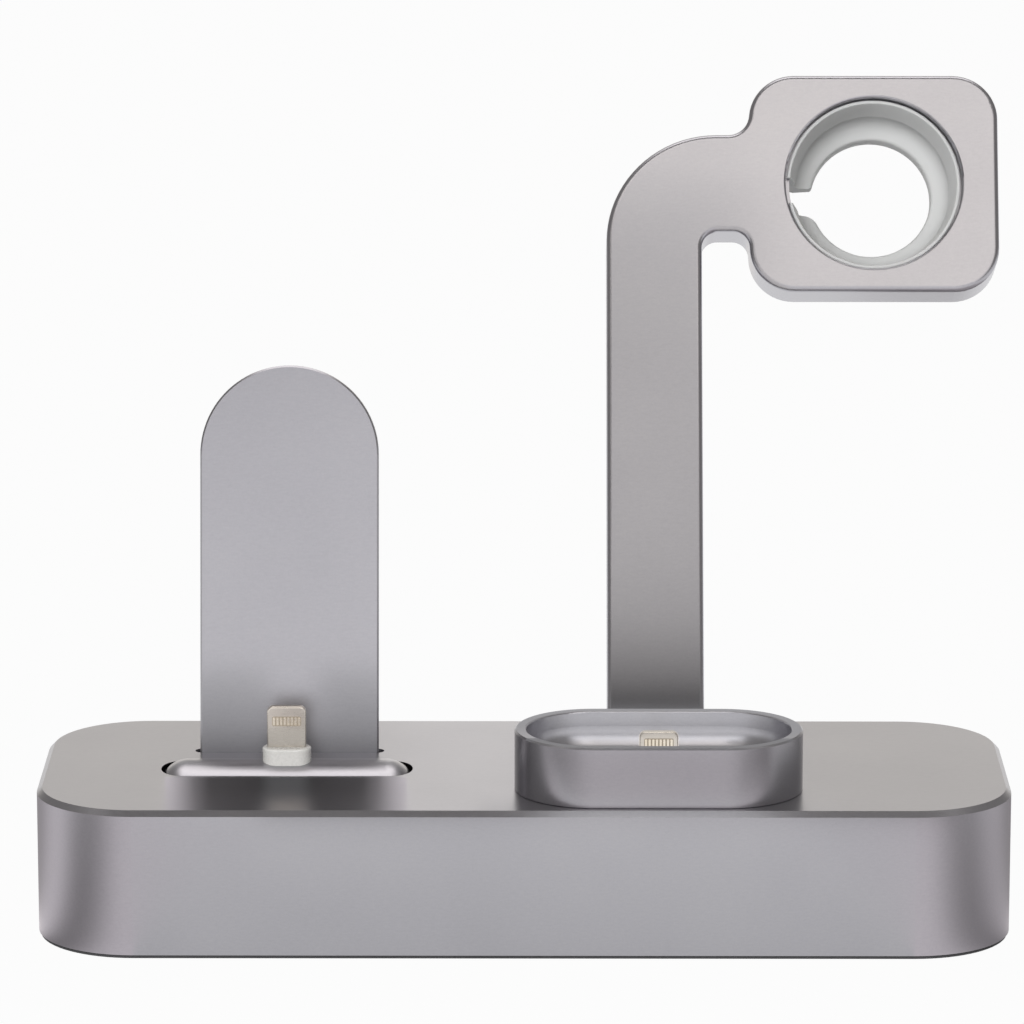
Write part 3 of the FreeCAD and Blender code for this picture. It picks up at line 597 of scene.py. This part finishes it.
# Phone lead: on the real stand its top turns with the rocker and the rest lies still; here the jacket's long
# edges are only cut into shorter ones (millimetres)
leadBend = {"x": -40.8, "y": -2.6, "stillZ": 7.4, "turnedZ": 12.8, "longEdge": 3.0, "cuts": 14}


def makePhoneLead():
    solid = nodes["phone_lead"]
    mesh = solid.data.copy()
    mesh.name = "phoneLead"
    mesh.transform(solid.matrix_world)
    shape = bmesh.new()
    shape.from_mesh(mesh)
    longEdge = leadBend["longEdge"] / 1000
    tall = [edge for edge in shape.edges if abs(edge.verts[0].co.z - edge.verts[1].co.z) > longEdge]
    bmesh.ops.subdivide_edges(shape, edges=tall, cuts=leadBend["cuts"])
    shape.to_mesh(mesh)
    shape.free()
    lead = addObject("phoneLead", mesh)
    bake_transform(lead)
    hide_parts("phone_lead")
    print("phone lead bends over", len(tall), "long edges")


makePhoneLead()


# Watch puck insert: one moulded ring turned in the head's bore, slit at the left (millimetres)
insertSetup = {
    "middleX": 61.9, "rise": 102.1,  # the bore's middle along the leaning head
    "footY": 9.0, "footZ": 25.7, "lean": 24.0,
    # radius and depth from the head's face: rim, funnel, snap ridge, wall, cove, lip, back and sleeve
    "outline": [(15.45, 1.70), (15.40, 1.45), (15.25, 1.32), (15.05, 1.30), (14.85, 1.38), (14.70, 1.70),
                (14.25, 4.10), (13.85, 6.20), (13.78, 6.45), (13.80, 6.70), (13.97, 6.95), (14.00, 7.40),
                (14.00, 8.50), (13.91, 9.20), (13.64, 9.85), (13.21, 10.41), (12.65, 10.84),
                (12.00, 11.11), (11.30, 11.20), (11.00, 11.28), (10.80, 11.50), (10.70, 11.90),
                (10.70, 14.30), (10.80, 14.52), (11.00, 14.60), (13.95, 14.60), (14.90, 13.65),
                (14.90, 2.50), (15.45, 2.50)],
    "slitTop": 1.15, "slitTopSlope": 0.045, "slitBottom": -3.4,
    "cornerTop": 0.8, "cornerBottom": 1.7,
    "steps": 180,
    "sharpFrom": 38,  # edges that turn by more degrees stay sharp
}


def slitCorner(radius, corner):
    # how far the slit's rounded corner opens at this radius
    lip = min(r for r, depth in insertSetup["outline"])
    inside = max(0.0, lip + corner - radius)
    return corner - math.sqrt(max(0.0, corner * corner - inside * inside))


def makeInsert():
    setup = insertSetup
    shape = bmesh.new()
    rings = []
    for radius, depth in setup["outline"]:
        top = setup["slitTop"] + setup["slitTopSlope"] * depth + slitCorner(radius, setup["cornerTop"])
        bottom = setup["slitBottom"] - slitCorner(radius, setup["cornerBottom"])
        first = math.asin(top / radius)
        last = 2 * math.pi + math.asin(bottom / radius)
        ring = []
        for i in range(setup["steps"] + 1):
            angle = first + (last - first) * i / setup["steps"]
            ring.append(shape.verts.new((-radius * math.cos(angle), depth, radius * math.sin(angle))))
        rings.append(ring)
    for ring, following in zip(rings, rings[1:] + rings[:1]):
        for i in range(setup["steps"]):
            shape.faces.new((ring[i], ring[i + 1], following[i + 1], following[i]))
    for end in (0, -1):
        shape.faces.new([ring[end] for ring in rings])
    bmesh.ops.recalc_face_normals(shape, faces=shape.faces)
    bmesh.ops.triangulate(shape, faces=[face for face in shape.faces if len(face.verts) > 4])
    lean = Matrix.Rotation(-math.radians(setup["lean"]), 4, "X")
    lean = Matrix.Translation((0, setup["footY"], setup["footZ"])) @ lean
    place = Matrix.Scale(0.001, 4) @ lean @ Matrix.Translation((setup["middleX"], 0, setup["rise"]))
    bmesh.ops.transform(shape, matrix=place, verts=shape.verts)
    mesh = bpy.data.meshes.new("watchInsert")
    shape.to_mesh(mesh)
    shape.free()
    mesh.shade_smooth()
    mesh.set_sharp_from_angle(angle=math.radians(setup["sharpFrom"]))
    mesh.materials.append(finishes["insert_plastic"])
    insert = addObject("watchInsert", mesh)
    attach(insert, "stand")
    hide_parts("watch_ring_insert")


makeInsert()
print("watch insert made")


# Plug contacts: a row of plated pads in a resin bed on each face of both plug tabs (millimetres)
contactSetup = {"count": 8, "pitch": 0.62, "width": 0.38, "thickness": 0.04, "corner": 0.12, "margin": 0.0}
bedSetup = {"count": 1, "pitch": 1.0, "width": 5.0, "thickness": 0.02, "corner": 0.3, "margin": 0.3}
plugs = [
    {"name": "phone", "body": "rocker", "tab": "phone_plug_tab", "low": 33.55, "high": 34.95},
    {"name": "cup", "body": "stand", "tab": "cup_plug_tab", "low": 32.40, "high": 34.40},
]


def makeRowTree():
    tree = bpy.data.node_groups.new("contactRow", "GeometryNodeTree")
    tree.interface.new_socket("Geometry", in_out="OUTPUT", socket_type="NodeSocketGeometry")
    tree.interface.new_socket("Count", in_out="INPUT", socket_type="NodeSocketInt")
    for name in ("Pitch", "Width", "Height", "Thickness", "Corner"):
        tree.interface.new_socket(name, in_out="INPUT", socket_type="NodeSocketFloat")
    tree.interface.new_socket("Finish", in_out="INPUT", socket_type="NodeSocketMaterial")
    given = addNode(tree, "NodeGroupInput").outputs
    edge = addNode(tree, "GeometryNodeCurvePrimitiveQuadrilateral", {
        "Width": given["Width"], "Height": given["Height"],
    }).outputs[0]
    edge = addNode(tree, "GeometryNodeFilletCurve", {
        "Curve": edge, "Radius": given["Corner"], "Count": 4,
    }, mode="POLY").outputs[0]
    face = addNode(tree, "GeometryNodeFillCurve", {"Curve": edge}, mode="NGONS").outputs[0]
    raised = addNode(tree, "GeometryNodeExtrudeMesh", {
        "Mesh": face, "Offset Scale": given["Thickness"],
    }).outputs["Mesh"]
    under = addNode(tree, "GeometryNodeFlipFaces", {"Mesh": face}).outputs[0]
    joined = addNode(tree, "GeometryNodeJoinGeometry")
    tree.links.new(raised, joined.inputs[0])
    tree.links.new(under, joined.inputs[0])
    pad = addNode(tree, "GeometryNodeMergeByDistance", {
        "Geometry": joined.outputs[0], "Distance": 1e-7,
    }).outputs[0]
    length = calc(tree, "MULTIPLY", calc(tree, "SUBTRACT", given["Count"], 1.0), given["Pitch"])
    start = addNode(tree, "ShaderNodeCombineXYZ", {"X": calc(tree, "MULTIPLY", length, -0.5)}).outputs[0]
    step = addNode(tree, "ShaderNodeCombineXYZ", {"X": given["Pitch"]}).outputs[0]
    line = addNode(tree, "GeometryNodeMeshLine", {
        "Count": given["Count"], "Start Location": start, "Offset": step,
    }).outputs[0]
    row = addNode(tree, "GeometryNodeInstanceOnPoints", {"Points": line, "Instance": pad}).outputs[0]
    row = addNode(tree, "GeometryNodeRealizeInstances", {"Geometry": row}).outputs[0]
    row = addNode(tree, "GeometryNodeSetMaterial", {
        "Geometry": row, "Material": given["Finish"],
    }).outputs[0]
    addNode(tree, "NodeGroupOutput", {0: row})
    return tree


rowTree = makeRowTree()


def makeRow(name, plug, setup, finish):
    # one row laid flat by the nodes, then stood on the front and the back of the tab
    given = {key.capitalize(): setup[key] / 1000 for key in ("pitch", "width", "thickness", "corner")}
    given["Count"] = setup["count"]
    given["Height"] = (plug["high"] - plug["low"]) / 1000 + setup["margin"] / 1000
    given["Finish"] = finish
    holder = addObject(name, bpy.data.meshes.new(name))
    modifier = holder.modifiers.new("row", "NODES")
    modifier.node_group = rowTree
    for socket in rowTree.interface.items_tree:
        if socket.in_out == "INPUT":
            modifier[socket.identifier] = given[socket.name]
    flat = bpy.data.meshes.new_from_object(holder.evaluated_get(bpy.context.evaluated_depsgraph_get()))
    holder.modifiers.remove(modifier)
    low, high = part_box(plug["tab"])
    middleX = ((low + high) / 2).x
    middleZ = (plug["low"] + plug["high"]) / 2000
    stand = Matrix.Rotation(math.radians(90), 4, "X")
    shape = bmesh.new()
    for faceY, turn in ((low.y, 0), (high.y, 180)):
        side = flat.copy()
        spin = Matrix.Rotation(math.radians(turn), 4, "Z")
        side.transform(Matrix.Translation((middleX, faceY, middleZ)) @ spin @ stand)
        shape.from_mesh(side)
    shape.to_mesh(holder.data)
    shape.free()
    holder.data.materials.append(finish)
    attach(holder, plug["body"])
    return holder


for plug in plugs:
    pads = makeRow(plug["name"] + "Contacts", plug, contactSetup, finishes["contact_gold"])
    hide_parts(plug["name"] + "_plug_contacts")
    bed = makeRow(plug["name"] + "ContactBed", plug, bedSetup, finishes["contact_bed"])
print("contact rows made")
